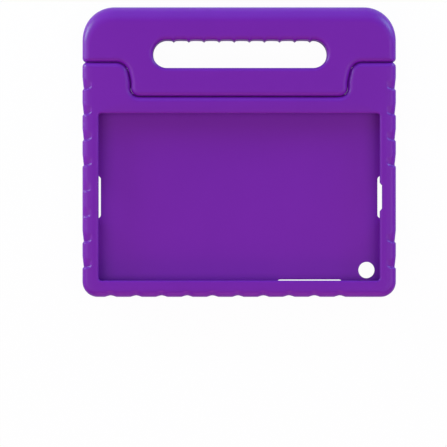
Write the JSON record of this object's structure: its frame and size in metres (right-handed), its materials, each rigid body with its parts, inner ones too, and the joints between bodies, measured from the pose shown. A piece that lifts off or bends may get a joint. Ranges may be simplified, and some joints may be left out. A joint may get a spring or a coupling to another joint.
{
  "type": "shockproof tablet case",
  "caption": "Thick foam protective case for a tablet, with a hinged carry handle that folds behind it as a stand.",
  "frame": {"origin": "centre of the bounding box in plan, on the surface the case lies on", "axes": "+X to the right along the case's width as seen from the front, +Y up the case towards the handle, +Z out of its front; it lies on its flat back with the handle in line"},
  "size_m": [0.266, 0.2465, 0.024],
  "materials": {
    "foam_shell": "closed-cell foam with a soft matt skin, purple",
    "foam_handle": "closed-cell foam with a soft matt skin, purple",
    "peg_plastic": "moulded black plastic"
  },
  "bodies": {
    "body": {"case_shell": "foam_shell", "hinge_peg_right": "peg_plastic", "hinge_peg_left": "peg_plastic"},
    "handle": {"carry_handle": "foam_handle"}
  },
  "joints": [
    {"name": "handle_hinge", "type": "hinge", "parent": "body", "child": "handle", "pos_m": [0, 0.059, 0.012], "axis": [-1, 0, 0], "range_deg": [0, 112]}
  ]
}
